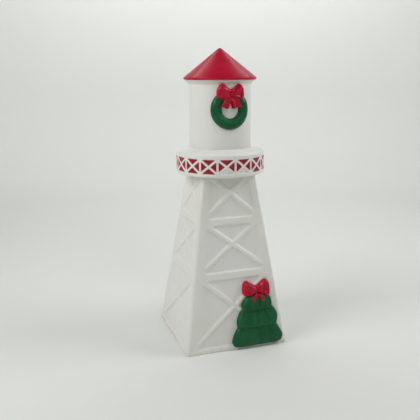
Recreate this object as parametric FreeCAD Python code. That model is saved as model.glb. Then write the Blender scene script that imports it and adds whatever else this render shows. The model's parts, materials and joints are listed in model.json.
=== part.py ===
import FreeCAD, Part
import math
import os

# Lighthouse yard ornament, hollow moulded plastic, lit by one small lamp in its back wall.
# A square tapering tower carries a round gallery, a lantern drum and a cone roof. A wreath and a tree,
# each with a bow, are pegged to the front (-Y). Millimetres, +Z up, origin in the middle of the foot.

Vec = FreeCAD.Vector
up = Vec(0, 0, 1)

# Tower: a square frustum on a closed floor
base_half = 110.8            # half the width across the flats on the ground
top_half = 57.2              # the same under the gallery
tower_height = 359.5
corner_radius = 6.0
foot_radius = 1.5
wall = 2.2                   # wall thickness behind the recesses
relief = 3.0                 # depth of the recesses between the beams
floor_thickness = 3.0
top_thickness = 3.0
neck_radius = 38.0           # outside of the collar that locates the gallery
neck_wall = 2.4
neck_height = 9.0

# Framing on each tower face: corner posts, cross beams, and a pair of braces in each bay
post_width = 17.0
foot_beam_height = 10.0
lower_beam_z = 148.5
lower_beam_height = 14.5
upper_beam_z = 259.0
upper_beam_height = 14.0
head_beam_height = 3.0
brace_width = 6.5
brace_rise = 5.0             # height of a brace's foot above the beam it starts from
brace_inset = 3.0            # distance of a brace's head from the post

# Gallery: a hollow ring with a lattice band under a sloping deck
gallery_radius = 92.0
gallery_height = 44.25       # underside to rim
gallery_wall = 2.4
lip_radius = 4.0             # rounding under the lower edge
rim_radius = 3.5             # rounding of the rim
deck_rise = 8.0              # rim to the seat of the drum
panel_count = 16
lattice_foot = 7.3           # plain band under the lattice
lattice_height = 29.1
lattice_bar = 3.7
lattice_relief = 1.4

# Lantern drum, flaring under the roof
drum_radius = 64.3
drum_height = 128.85
drum_wall = 2.4
spigot_step = 10.3           # how far the spigot under the drum is set in from its outside
spigot_depth = 10.0
flare_height = 7.9
flare_reach = 9.7
roof_step = 6.3              # the same for the hole that takes the roof

# Roof
eave_overhang = 0.8          # how far the eave stands out from the flare under it
eave_lip = 4.0
cone_height = 57.5
tip_radius = 7.0
roof_wall = 2.4
roof_spigot_depth = 8.0

# Wreath on the drum, and its bow
wreath_z = 79.25             # centre above the foot of the drum
wreath_ring = 28.25          # radius of the ring's centre line
wreath_tube = 22.5           # width of the ring
wreath_sink = 0.6            # how far the tube's centre lies behind the drum's surface
bow_rise = 30.0              # centre of the knot above the centre of the wreath
bow_proud = 14.0             # how far the knot stands out from the drum
bow_knot_size = 6.0          # radius of the knot
bow_neck = 4.2               # radius of a loop where it leaves the knot
bow_half_width = 28.8        # middle of the knot to the end of a loop
bow_loop_height = 25.0
bow_loop_rise = 7.0          # how far the middle of a loop's round end is above the knot
tail_proud = 12.6
tail_drop = 30.0             # knot to the lower edge of a tail
tail_split = 13.6            # knot to the point where the tails part
tail_spread = 21.4           # half the width across both tails
tail_gap = 10.5              # between the tails' inner corners
tail_slant = 4.0             # how far a tail's outer corner is above its inner one

# Tree on the tower, three skirts high, and its bow
tree_margin = 64.6           # axis of the tree to the tower's right-hand edge on the ground
tree_widths = (56.2, 45.7, 33.6)      # half the width of each skirt, lowest first
tree_wide_z = (22.0, 61.0, 87.0)      # height where each skirt is widest
tree_edge_z = (3.5, 43.0, 78.0)       # height of each skirt's lower edge
tree_top_z = (64.0, 92.0, 112.0)      # height where each skirt runs out
tree_proud = (12.5, 12.0, 11.0)       # how far each skirt stands out from the tower
skirt_width_shares = (0.80, 0.96, 1.0, 0.76, 0.42)      # of a skirt's width, from its edge to its top
skirt_depth_shares = (0.62, 0.92, 1.0, 0.97, 0.80)      # of how far it stands out, at the same places
tree_bow_z = 122.4
tree_knot_shift = 0.4        # how far the knot stands right of the tree's axis
tree_knot_size = 6.0
tree_bow_neck = 4.2
tree_bow_proud = 13.0
tree_bow_half_width = 30.6   # middle of the knot to the end of a loop
tree_loop_height = 31.0
tree_loop_rise = 2.6
tree_tail_neck = 3.6
tree_tail_drop = 27.0
tree_tail_spread = 12.0
tree_tail_width = 13.0

# Pegs that hold the four ornaments, and the room around them
peg_radius = 3.0
peg_reach = 4.0              # length of a peg beyond the inside of the wall
peg_clearance = 0.15
tree_peg_z = (24.0, 84.0)

# Lamp kit: a plate that plugs into a round pad on the back wall, with the lampholder on it
lamp_hole_radius = 20.0
pad_radius = 28.0
pad_stand = 0.6              # how far the pad's lowest edge stands out of the wall
plate_radius = 25.5
plate_thickness = 2.6
plug_depth = 11.0
plug_wall = 2.0
gland_bore = 3.0             # radius of the hole for the cord
gland_wall = 2.6
gland_collar = 2.4           # how far the gland's collars stand out around its stem
collar_thickness = 2.0
gland_nose = 12.0
gland_nose_wall = 1.3
holder_radius = 13.0
holder_length = 30.0
holder_flange_radius = 16.4
holder_flange = 5.0
chamber_radius = 9.5
chamber_depth = 9.0
web_thickness = 4.0
shell_wall = 0.5
shell_length = 16.0
shell_window = 3.6           # radius of the opening in the shell's bottom
leaf_radius = 2.6
leaf_thickness = 0.5
rivet_radius = 0.8
rivet_head_radius = 1.7
rivet_head = 1.5
shell_rivet_head = 0.6
shell_rivet_x = 5.1
screw_radius = 1.5
screw_head_radius = 2.8
screw_head = 1.8
screw_grip = 4.4             # thread length in the holder's flange

# Lamp, on the same axis and pointing into the tower
base_radius = 5.95
base_length = 14.4
base_wall = 0.35
button_radius = 4.7
button_flat = 2.4            # radius of the button's flat end around the tip contact
button_height = 3.2
tip_contact_radius = 1.6
tip_contact_height = 1.0
glass_wall = 0.6
glass_start = 9.0            # height of the glass's lower end above the tip contact
glass_length = 45.0
glass_radius = 11.0
glass_flare = 0.35           # slope of the glass where it leaves the base
glass_swell = ((0.20, 0.80), (0.46, 1.0), (0.76, 0.78))     # shares of the glass's free height and radius
stem_radius = 2.0
stem_height = 17.0
stem_foot = 1.0
lead_radius = 0.35
lead_height = 10.0
lead_knee = 2.0              # height above the stem where the leads spread
lead_spread = 5.5
filament_radius = 0.3
filament_ends = 1.05         # how far the filament stops short of the leads' axes

# Clearances
seat_gap = 0.15              # around a piece that stays in its seat
slide_gap = 0.3              # around a piece that slides out

# Values worked out from the sizes above
taper = (base_half - top_half) / tower_height
lean = math.atan(taper)
drum_seat = tower_height + gallery_height + deck_rise
flare_top = drum_seat + drum_height + flare_height
roof_top = flare_top + eave_lip + cone_height
drum_bore = drum_radius - drum_wall
drum_spigot_radius = drum_radius - spigot_step
roof_hole_radius = drum_radius - roof_step
eave_radius = drum_radius + flare_reach + eave_overhang
tree_x = base_half - tree_margin
tree_knot_x = tree_x + tree_knot_shift
wreath_centre = drum_seat + wreath_z
bow_centre = wreath_centre + bow_rise
bays = (
    (foot_beam_height, lower_beam_z),
    (lower_beam_z + lower_beam_height, upper_beam_z),
    (upper_beam_z + upper_beam_height, tower_height - head_beam_height),
)


def face_y(z):
    """Distance of a tower face from the axis at height z."""
    return base_half - taper * z


def turned(shape, angle):
    """The shape turned about the tower's axis, in degrees."""
    copy = shape.copy()
    copy.rotate(Vec(0, 0, 0), up, angle)
    return copy


def merged(shapes):
    """All shapes as one solid."""
    return shapes[0].multiFuse(shapes[1:])


def largest(shape):
    """The main solid of a cut piece, without the crumbs beside it."""
    return max(shape.Solids, key=lambda solid: solid.Volume)


def block_between(low, high):
    """The solid between two flat outlines, both counter-clockwise as seen from the high one."""
    count = len(low)
    rings = [low[::-1], high]
    for i in range(count):
        j = (i + 1) % count
        rings.append([low[i], low[j], high[j], high[i]])
    faces = [Part.Face(Part.makePolygon(ring + ring[:1])) for ring in rings]
    return Part.Solid(Part.Shell(faces))


def square(half, z):
    return [Vec(x * half, y * half, z) for x, y in ((-1, -1), (1, -1), (1, 1), (-1, 1))]


def revolved(points):
    """A closed outline of (radius, z) points turned about the Z axis."""
    corners = [Vec(r, 0, z) for r, z in points]
    face = Part.Face(Part.makePolygon(corners + corners[:1]))
    return face.revolve(Vec(0, 0, 0), up, 360)


def disc(radius, z, height, hole=0.0):
    """A round plate or a ring on the Z axis."""
    plate = Part.makeCylinder(radius, height, Vec(0, 0, z))
    if hole:
        plate = plate.cut(Part.makeCylinder(hole, height, Vec(0, 0, z)))
    return plate


# ---- lines in the plane of a face: (a, b, c) stands for a * x + b * z = c

def line(start, end, shift=0.0):
    """The line through two points, moved by shift towards its left."""
    dx = end[0] - start[0]
    dz = end[1] - start[1]
    length = math.hypot(dx, dz)
    a = -dz / length
    b = dx / length
    return (a, b, a * start[0] + b * start[1] + shift)


def meet(one, two):
    """The point where two lines cross."""
    det = one[0] * two[1] - two[0] * one[1]
    x = (one[2] * two[1] - two[2] * one[1]) / det
    z = (one[0] * two[2] - two[0] * one[2]) / det
    return (x, z)


def grown(points, distance):
    """A convex outline, counter-clockwise, with each side moved outwards."""
    count = len(points)
    sides = [line(points[i], points[(i + 1) % count], -distance) for i in range(count)]
    return [meet(sides[i - 1], sides[i]) for i in range(count)]


def crossed_bay(low, high, inner_low, inner_high, foot, head, width):
    """The four triangles left open by two crossed braces between posts and beams."""
    half = width / 2
    post = ((-inner_low, low), (-inner_high, high))
    rising = [line(foot, head, shift) for shift in (half, -half)]
    mirror_foot = (-foot[0], foot[1])
    mirror_head = (-head[0], head[1])
    falling = [line(mirror_foot, mirror_head, shift) for shift in (half, -half)]
    beam_low = line((-1, low), (1, low))
    beam_high = line((-1, high), (1, high))
    side = line(*post)
    left = [meet(side, rising[0]), meet(rising[0], falling[0]), meet(falling[0], side)]
    right = [(-x, z) for x, z in reversed(left)]
    top = [meet(rising[0], falling[1]), meet(rising[0], beam_high), meet(falling[1], beam_high)]
    bottom = [meet(rising[1], beam_low), meet(falling[0], beam_low), meet(rising[1], falling[0])]
    return [left, right, top, bottom]


# ---- tower

def bay_ends(bay):
    """Half the clear width between the posts at the bottom and the top of a bay."""
    return [face_y(z) - post_width for z in bay]


def brace_ends(bay):
    """Foot and head of the brace that rises to the right."""
    foot_z = bay[0] + brace_rise
    return (-(face_y(foot_z) - post_width), foot_z), (bay_ends(bay)[1] - brace_inset, bay[1])


def brace_crossing(bay):
    """Height where the two braces of a bay cross."""
    foot, head = brace_ends(bay)
    return foot[1] + (head[1] - foot[1]) * foot[0] / (foot[0] - head[0])


def on_front(x, z, depth):
    """A point on the front face, or depth below it."""
    return Vec(x, -face_y(z) + depth * math.cos(lean), z - depth * math.sin(lean))


def tower_pockets():
    """Recesses of all four faces, with sides sloped at 45 degrees."""
    pockets = []
    lift = 1.0
    for bay in bays:
        foot, head = brace_ends(bay)
        for outline in crossed_bay(*bay, *bay_ends(bay), foot, head, brace_width):
            mouth = [on_front(x, z, -lift) for x, z in grown(outline, lift)]
            bed = [on_front(x, z, relief) for x, z in grown(outline, -relief)]
            pockets.append(block_between(bed, mouth))
    return [turned(pocket, 90 * side) for side in range(4) for pocket in pockets]


def tower_blank():
    """The tower's outer form with its recesses, solid inside."""
    form = block_between(square(base_half, 0), square(top_half, tower_height))
    uprights = [e for e in form.Edges if abs(e.Vertexes[0].Z - e.Vertexes[1].Z) > 1]
    form = form.makeFillet(corner_radius, uprights)
    foot = [e for e in form.Edges if e.BoundBox.ZMax < 0.01]
    form = form.makeFillet(foot_radius, foot)
    return form.cut(Part.makeCompound(tower_pockets()))


def tower_hollow():
    skin = (wall + relief) / math.cos(lean)
    low = floor_thickness
    high = tower_height - top_thickness
    return block_between(square(face_y(low) - skin, low), square(face_y(high) - skin, high))


def lamp_z():
    """Height of the lamp: where the braces of the middle bay cross."""
    return brace_crossing(bays[1])


def pad_y():
    """Distance of the lamp pad's flat face from the tower's axis."""
    return face_y(lamp_z() - pad_radius) + pad_stand


def along_lamp(shape):
    """Moves a shape made on +Z to the lamp's axis: z = 0 is the pad's face, +z points into the tower."""
    placed = shape.copy()
    placed.rotate(Vec(0, 0, 0), Vec(1, 0, 0), 90)
    placed.translate(Vec(0, pad_y(), lamp_z()))
    return placed


def drum_peg(x, z, radius):
    """A peg along Y through the drum's wall, from just outside it."""
    outer = math.sqrt(drum_radius ** 2 - x ** 2)
    inner = math.sqrt(drum_bore ** 2 - x ** 2)
    start = -outer - peg_reach
    length = outer - inner + 2 * peg_reach
    return Part.makeCylinder(radius, length, Vec(x, start, z), Vec(0, 1, 0))


def tower_peg(x, z, radius):
    """A peg along Y through the tower's front wall, from just outside it."""
    start = -face_y(z) - peg_reach
    length = (wall + relief) / math.cos(lean) + 2 * peg_reach
    return Part.makeCylinder(radius, length, Vec(x, start, z), Vec(0, 1, 0))


def tower_peg_places():
    return [(tree_x, z) for z in tree_peg_z] + [(tree_knot_x, tree_bow_z)]


def make_tower(blank):
    hollow = tower_hollow()
    shell = blank.cut(hollow)
    pad_room = pad_y()
    front_half = Part.makeBox(2 * base_half, pad_room, tower_height, Vec(-base_half, -pad_room, 0))
    pad = along_lamp(Part.makeCylinder(pad_radius, pad_room)).cut(hollow).cut(front_half)
    collar = disc(neck_radius, tower_height, neck_height)
    shell = merged([shell, pad, collar])
    bore_start = Vec(0, 0, tower_height - top_thickness)
    bore = Part.makeCylinder(neck_radius - neck_wall, top_thickness + neck_height, bore_start)
    lamp_hole = along_lamp(Part.makeCylinder(lamp_hole_radius, pad_room))
    holes = [tower_peg(x, z, peg_radius + peg_clearance) for x, z in tower_peg_places()]
    return shell.cut(Part.makeCompound([bore, lamp_hole] + holes))


# ---- gallery, drum and roof

def arc_points(centre, radius, start, end, steps=6):
    """Points of an arc in the (radius, z) plane, angles in degrees."""
    points = []
    for i in range(steps + 1):
        angle = math.radians(start + (end - start) * i / steps)
        points.append((centre[0] + radius * math.cos(angle), centre[1] + radius * math.sin(angle)))
    return points


def gallery_outline():
    """Half section of the gallery, from the hole in its floor, round the outside and back inside."""
    low = tower_height
    rim = low + gallery_height
    seat = drum_seat
    under = low + gallery_wall
    inner = gallery_radius - lattice_relief - gallery_wall
    floor_hole = neck_radius + seat_gap
    deck_hole = drum_spigot_radius + seat_gap
    lip = arc_points((gallery_radius - lip_radius, low + lip_radius), lip_radius, -90, 0)
    edge = arc_points((gallery_radius - rim_radius, rim - rim_radius), rim_radius, 0, 90)
    ceiling = seat - gallery_wall
    return (
        [(floor_hole, low)] + lip + edge
        + [(drum_radius, seat), (deck_hole, seat), (deck_hole, ceiling), (drum_radius, ceiling)]
        + [(inner, rim - gallery_wall), (inner, under), (floor_hole, under)]
    )


def lattice_pockets():
    """Recessed triangles of the lattice band. A post stands at the middle of the front."""
    half_angle = math.pi / panel_count
    half_panel = gallery_radius * math.sin(half_angle)
    low = tower_height + lattice_foot
    high = low + lattice_height
    inner = half_panel - lattice_bar / 2
    corner = (half_panel, high)
    outlines = crossed_bay(low, high, inner, inner, (-half_panel, low), corner, lattice_bar)
    near = gallery_radius * math.cos(half_angle) - 2 * lattice_relief
    far = gallery_radius + lattice_relief
    prisms = []
    for outline in outlines:
        bed = [Vec(x, -near, z) for x, z in outline]
        mouth = [Vec(x, -far, z) for x, z in outline]
        prisms.append(block_between(bed, mouth))
    step = 360 / panel_count
    every = [turned(prism, step * (i + 0.5)) for i in range(panel_count) for prism in prisms]
    ring = disc(far + lattice_relief, tower_height, gallery_height, gallery_radius - lattice_relief)
    return Part.makeCompound(every).common(ring)


def make_gallery():
    return revolved(gallery_outline()).cut(lattice_pockets())


def make_lantern_drum():
    seat = drum_seat
    top = flare_top
    outline = [
        (drum_spigot_radius, seat - spigot_depth),
        (drum_spigot_radius, seat),
        (drum_radius, seat),
        (drum_radius, seat + drum_height),
        (drum_radius + flare_reach, top),
        (roof_hole_radius, top),
        (roof_hole_radius, top - drum_wall),
        (drum_bore, top - drum_wall),
        (drum_bore, seat + drum_wall),
        (drum_spigot_radius - drum_wall, seat + drum_wall),
        (drum_spigot_radius - drum_wall, seat - spigot_depth),
    ]
    places = [(-wreath_ring, wreath_centre), (wreath_ring, wreath_centre), (0.0, bow_centre)]
    holes = [drum_peg(x, z, peg_radius + peg_clearance) for x, z in places]
    return revolved(outline).cut(Part.makeCompound(holes))


def make_roof():
    low = flare_top
    shoulder = low + eave_lip
    centre_z = roof_top - tip_radius
    angle = touch_angle(tip_radius, centre_z, eave_radius, shoulder)
    outer_tip = arc_points((0, centre_z), tip_radius, angle, 90)
    inner_tip = arc_points((0, centre_z), tip_radius - roof_wall, 90, angle)
    side = line(outer_tip[0], (eave_radius, shoulder), -roof_wall)
    ceiling = low + roof_wall
    inner_foot = meet(side, line((0, ceiling), (1, ceiling)))
    spigot = roof_hole_radius - seat_gap
    outline = (
        [(spigot, low - roof_spigot_depth), (spigot, low), (eave_radius, low), (eave_radius, shoulder)]
        + outer_tip + inner_tip + [inner_foot]
        + [(spigot - roof_wall, ceiling), (spigot - roof_wall, low - roof_spigot_depth)]
    )
    return revolved(outline)


# ---- wreath, tree and bows

def touch_angle(radius, centre_z, point_r, point_z):
    """Where a line from a point touches a circle on the Z axis: the angle of that spot, in degrees."""
    rise = centre_z - point_z
    distance = math.hypot(point_r, rise)
    return math.degrees(math.acos(radius / distance) - math.atan2(rise, point_r))


def teardrop(start, end, neck, radius):
    """A round-ended cone of ribbon: neck wide at its start, with a ball about its end."""
    run = end - start
    angle = math.radians(touch_angle(radius, run.Length, neck, 0))
    touch = Vec(radius * math.cos(angle), 0, run.Length + radius * math.sin(angle))
    half = (angle + math.pi / 2) / 2
    middle = Vec(radius * math.cos(half), 0, run.Length + radius * math.sin(half))
    pole = Vec(0, 0, run.Length + radius)
    edges = [
        Part.makeLine(Vec(0, 0, 0), Vec(neck, 0, 0)),
        Part.makeLine(Vec(neck, 0, 0), touch),
        Part.Arc(touch, middle, pole).toShape(),
        Part.makeLine(pole, Vec(0, 0, 0)),
    ]
    drop = Part.Face(Part.Wire(edges)).revolve(Vec(0, 0, 0), up, 360)
    drop.Placement = FreeCAD.Placement(start, FreeCAD.Rotation(up, run))
    return drop


def drum_core():
    """The drum and its flare as a solid a little larger, for what is shaped to their surface."""
    radius = drum_radius + seat_gap
    flare_start = drum_seat + drum_height - seat_gap
    return revolved([
        (0, drum_seat),
        (radius, drum_seat),
        (radius, flare_start),
        (radius + flare_reach, flare_start + flare_height),
        (radius + flare_reach, flare_top),
        (0, flare_top),
    ])


def wreath_point(turn):
    """A point of the wreath's centre line, which is bent to the drum; turn is in radians."""
    around = wreath_ring * math.cos(turn) / drum_radius
    radius = drum_radius - wreath_sink
    z = wreath_centre + wreath_ring * math.sin(turn)
    return Vec(radius * math.sin(around), -radius * math.cos(around), z)


def half_ring(start):
    """Half of the wreath's round tube, from one side of it to the other."""
    count = 12
    curve = Part.BSplineCurve()
    curve.interpolate(Points=[wreath_point(start + math.pi * i / count) for i in range(count + 1)])
    direction = curve.tangent(curve.FirstParameter)[0]
    section = Part.Wire([Part.makeCircle(wreath_tube / 2, wreath_point(start), direction)])
    return Part.Wire([curve.toShape()]).makePipeShell([section], True, False)


def make_wreath(bow):
    """A round ring shaped to the drum behind and to the bow above, with two pegs."""
    ring = merged([half_ring(0), half_ring(math.pi)]).cut(drum_core())
    pegs = [drum_peg(x, wreath_centre, peg_radius) for x in (-wreath_ring, wreath_ring)]
    return merged([largest(ring.cut(bow))] + pegs)


def tail_outline(side):
    """One tail of the wreath's bow, a ribbon that widens downwards."""
    knot = bow_centre
    low = knot - tail_drop
    points = [
        (0.0, knot),
        (0.0, knot - tail_split),
        (side * tail_gap / 2, low),
        (side * tail_spread, low + tail_slant),
        (side * bow_knot_size, knot),
    ]
    return points


def make_wreath_bow():
    reach = drum_radius + bow_proud
    radius = bow_loop_height / 2
    start = Vec(0, bow_knot_size - reach, bow_centre)
    loops = []
    for side in (-1, 1):
        around = side * (bow_half_width - radius) / drum_radius
        depth = reach - radius
        end_z = bow_centre + bow_loop_rise
        end = Vec(depth * math.sin(around), -depth * math.cos(around), end_z)
        loops.append(teardrop(start, end, bow_neck, radius))
    knot = Part.makeSphere(bow_knot_size, start)
    cover = disc(drum_radius + tail_proud, drum_seat, flare_top - drum_seat, drum_radius)
    tails = []
    for side in (-1, 1):
        flat = [Vec(x, 0, z) for x, z in tail_outline(side)]
        face = Part.Face(Part.makePolygon(flat + flat[:1]))
        tails.append(face.extrude(Vec(0, -reach, 0)).common(cover))
    bow = merged(loops + [knot] + tails).cut(drum_core())
    return merged([bow, drum_peg(0.0, bow_centre, peg_radius)])


def skirt(level):
    """One skirt of the tree: sections that are ellipses about the tower's face."""
    edge = tree_edge_z[level]
    wide = tree_wide_z[level]
    top = tree_top_z[level]
    heights = (edge, (edge + wide) / 2, wide, (wide + top) / 2, top)
    rings = []
    for z, width_share, depth_share in zip(heights, skirt_width_shares, skirt_depth_shares):
        half = width_share * tree_widths[level]
        depth = depth_share * tree_proud[level]
        ellipse = Part.Ellipse(Vec(tree_x, -face_y(z), z), half, depth)
        rings.append(Part.Wire([ellipse.toShape()]))
    return Part.makeLoft(rings, True, False)


def behind_front():
    """The room behind the plane of the front face."""
    heights = (-base_half, tower_height)
    outline = [Vec(-base_half, -face_y(z), z) for z in heights]
    outline += [Vec(-base_half, 0, z) for z in reversed(heights)]
    return Part.Face(Part.makePolygon(outline + outline[:1])).extrude(Vec(2 * base_half, 0, 0))


def make_tree(bow):
    """Three skirts, flat against the tower and shaped to the bow above, with two pegs."""
    body = merged([skirt(level) for level in range(len(tree_widths))])
    body = largest(body.cut(behind_front()).cut(bow))
    pegs = [tower_peg(tree_x, z, peg_radius) for z in tree_peg_z]
    return merged([body] + pegs)


def make_tree_bow():
    face = -face_y(tree_bow_z)
    radius = tree_loop_height / 2
    start = Vec(tree_knot_x, face - tree_bow_proud + tree_knot_size, tree_bow_z)
    drops = []
    for side in (-1, 1):
        x = tree_knot_x + side * (tree_bow_half_width - radius)
        end = Vec(x, face - tree_bow_proud + radius, tree_bow_z + tree_loop_rise)
        drops.append(teardrop(start, end, tree_bow_neck, radius))
    radius = tree_tail_width / 2
    for side in (-1, 1):
        low = tree_bow_z - tree_tail_drop + radius
        end = Vec(tree_knot_x + side * tree_tail_spread, radius - face_y(low) - tree_bow_proud, low)
        drops.append(teardrop(start, end, tree_tail_neck, radius))
    knot = Part.makeSphere(tree_knot_size, start)
    bow = largest(merged(drops + [knot]).cut(behind_front()))
    return merged([bow, tower_peg(tree_knot_x, tree_bow_z, peg_radius)])


# ---- lamp kit, made on +Z with z = 0 at the pad's face and +z into the tower

web_front = chamber_depth + web_thickness
lamp_start = web_front + leaf_thickness + rivet_head     # end face of the lamp's tip contact
gland_radius = gland_bore + gland_wall
shell_bore = base_radius + slide_gap
shell_radius = shell_bore + shell_wall
screw_x = (chamber_radius + holder_flange_radius) / 2


def screw_holes(radius, low, high):
    return [Part.makeCylinder(radius, high - low, Vec(side * screw_x, 0, low)) for side in (-1, 1)]


def make_lamp_plate():
    plate = disc(plate_radius, -plate_thickness, plate_thickness)
    plug = lamp_hole_radius - slide_gap
    rim = disc(plug, 0, plug_depth, plug - plug_wall)
    plate = merged([plate, rim])
    gland_hole = Part.makeCylinder(gland_radius + seat_gap, plate_thickness, Vec(0, 0, -plate_thickness))
    holes = screw_holes(screw_radius + seat_gap, -plate_thickness, 0)
    return plate.cut(Part.makeCompound([gland_hole] + holes))


def make_lampholder_body():
    body = merged([disc(holder_radius, 0, holder_length), disc(holder_flange_radius, 0, holder_flange)])
    socket = Part.makeCylinder(shell_radius + seat_gap, holder_length, Vec(0, 0, web_front))
    chamber = Part.makeCylinder(chamber_radius, chamber_depth)
    grips = screw_holes(screw_radius + seat_gap, 0, screw_grip + seat_gap)
    hole = rivet_radius + seat_gap
    rivets = [Part.makeCylinder(hole, web_front, Vec(x, 0, 0)) for x in (0, shell_rivet_x)]
    return body.cut(Part.makeCompound([socket, chamber] + grips + rivets))


def make_lampholder_shell():
    shell = disc(shell_radius, web_front, shell_length, shell_bore)
    bottom = disc(shell_radius, web_front, shell_wall, shell_window)
    hole = Part.makeCylinder(rivet_radius + seat_gap, shell_wall, Vec(shell_rivet_x, 0, web_front))
    return merged([shell, bottom]).cut(hole)


def make_centre_contact():
    return disc(leaf_radius, web_front, leaf_thickness, rivet_radius + seat_gap)


def make_contact_rivets():
    """One rivet under the lamp's tip, one through the bottom of the screw shell."""
    rivets = []
    for x, seat, head in ((0, leaf_thickness, rivet_head), (shell_rivet_x, shell_wall, shell_rivet_head)):
        low = chamber_depth - shell_rivet_head
        shank = Part.makeCylinder(rivet_radius, web_front + seat - low, Vec(x, 0, low))
        tail = Part.makeCylinder(rivet_head_radius, shell_rivet_head, Vec(x, 0, low))
        cap_radius = rivet_head_radius if x == 0 else shell_bore - shell_rivet_x
        cap = Part.makeCylinder(cap_radius, head, Vec(x, 0, web_front + seat))
        rivets.append(merged([shank, tail, cap]))
    return Part.makeCompound(rivets)


def make_lampholder_screws():
    screws = []
    for side in (-1, 1):
        top = -plate_thickness
        shank = Part.makeCylinder(screw_radius, screw_grip - top, Vec(side * screw_x, 0, top))
        head = Part.makeCylinder(screw_head_radius, screw_head, Vec(side * screw_x, 0, top - screw_head))
        screws.append(merged([head, shank]))
    return Part.makeCompound(screws)


def make_cord_gland():
    collar = gland_radius + gland_collar
    top = -plate_thickness
    nose_end = top - collar_thickness - gland_nose
    outline = [
        (gland_bore, collar_thickness),
        (collar, collar_thickness),
        (collar, 0),
        (gland_radius, 0),
        (gland_radius, top),
        (collar, top),
        (collar, top - collar_thickness),
        (gland_radius, top - collar_thickness),
        (gland_bore + gland_nose_wall, nose_end),
        (gland_bore, nose_end),
    ]
    return revolved(outline)


# ---- lamp, on the same axis

def lamp_at(height):
    """A height above the lamp's tip contact, on the lamp's axis."""
    return lamp_start + height


def make_bulb_tip():
    return disc(tip_contact_radius, lamp_at(0), tip_contact_height)


def make_bulb_insulator():
    low = tip_contact_height / 2
    shoulder = button_height - base_wall
    points = [
        (0, tip_contact_height),
        (tip_contact_radius, tip_contact_height),
        (tip_contact_radius, low),
        (button_flat, low),
        (button_radius, shoulder),
        (button_radius, button_height),
        (0, button_height),
    ]
    return revolved([(r, lamp_at(h)) for r, h in points])


def make_bulb_base():
    low = button_height - base_wall
    inner = base_radius - base_wall
    points = [
        (button_radius, low),
        (base_radius, low + base_wall),
        (base_radius, button_height + base_length),
        (inner, button_height + base_length),
        (inner, button_height),
        (button_radius, button_height),
    ]
    return revolved([(r, lamp_at(h)) for r, h in points])


def glass_form(skin):
    """The envelope's outer form, or the same drawn in by skin."""
    neck = base_radius - base_wall - seat_gap - skin
    top = glass_start + glass_length - skin
    belly = glass_radius - skin
    neck_top = button_height + base_length + 1
    span = top - neck_top
    low = Vec(neck, 0, lamp_at(glass_start))
    turn = Vec(neck, 0, lamp_at(neck_top))
    curve = Part.BSplineCurve()
    swell = [Vec(wide * belly, 0, lamp_at(neck_top + share * span)) for share, wide in glass_swell]
    points = [turn] + swell + [Vec(0, 0, lamp_at(top))]
    curve.interpolate(Points=points, InitialTangent=Vec(glass_flare, 0, 1), FinalTangent=Vec(-1, 0, 0))
    axis_low = Vec(0, 0, lamp_at(glass_start))
    edges = [
        Part.makeLine(axis_low, low),
        Part.makeLine(low, turn),
        curve.toShape(),
        Part.makeLine(points[-1], axis_low),
    ]
    return Part.Face(Part.Wire(edges)).revolve(Vec(0, 0, 0), up, 360)


def make_bulb_glass():
    return glass_form(0.0).cut(glass_form(glass_wall))


def make_bulb_stem():
    foot_radius_inside = base_radius - base_wall - seat_gap - glass_wall - seat_gap
    foot = disc(foot_radius_inside, lamp_at(glass_start), stem_foot)
    rod = disc(stem_radius, lamp_at(glass_start), stem_height)
    return merged([foot, rod])


def make_bulb_leads():
    low = lamp_at(glass_start + stem_height)
    leads = []
    for side in (-1, 1):
        start = side * stem_radius / 2
        end = Vec(side * lead_spread, 0, low + lead_height)
        knee = Vec(start, 0, low + lead_knee)
        straight = Part.makeCylinder(lead_radius, lead_knee, Vec(start, 0, low))
        ball = Part.makeSphere(lead_radius, knee)
        sloping = Part.makeCylinder(lead_radius, end.distanceToPoint(knee), knee, end - knee)
        leads.append(merged([straight, ball, sloping]))
    return Part.makeCompound(leads)


def make_bulb_filament():
    """A straight coil between the ends of the leads, drawn as its outer form."""
    z = lamp_at(glass_start + stem_height + lead_height) - 2 * lead_radius
    half = lead_spread - filament_ends
    return Part.makeCylinder(filament_radius, 2 * half, Vec(-half, 0, z), Vec(1, 0, 0))


def build():
    blank = tower_blank()
    wreath_bow = make_wreath_bow()
    tree_bow = make_tree_bow()
    nodes = {
        "tower": make_tower(blank),
        "gallery": make_gallery(),
        "lantern_drum": make_lantern_drum(),
        "roof": make_roof(),
        "wreath": make_wreath(wreath_bow),
        "wreath_bow": wreath_bow,
        "tree": make_tree(tree_bow),
        "tree_bow": tree_bow,
    }
    lamp_pieces = {
        "lamp_plate": make_lamp_plate,
        "lampholder_body": make_lampholder_body,
        "lampholder_shell": make_lampholder_shell,
        "centre_contact": make_centre_contact,
        "contact_rivets": make_contact_rivets,
        "lampholder_screws": make_lampholder_screws,
        "cord_gland": make_cord_gland,
        "bulb_tip": make_bulb_tip,
        "bulb_insulator": make_bulb_insulator,
        "bulb_base": make_bulb_base,
        "bulb_glass": make_bulb_glass,
        "bulb_stem": make_bulb_stem,
        "bulb_leads": make_bulb_leads,
        "bulb_filament": make_bulb_filament,
    }
    for name, make in lamp_pieces.items():
        nodes[name] = along_lamp(make())
    return nodes


os.makedirs("parts", exist_ok=True)
for name, shape in build().items():
    shape.exportStep("parts/" + name + ".step")
    box = shape.BoundBox
    print(name, len(shape.Solids), "solids", round(shape.Volume), "mm3", shape.isValid(),
          [round(v, 1) for v in (box.XMin, box.XMax, box.YMin, box.YMax, box.ZMin, box.ZMax)])
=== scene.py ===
import json
import math

import bmesh
import bpy
import numpy as np
from mathutils import Matrix, Vector
from mathutils.geometry import delaunay_2d_cdt


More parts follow.
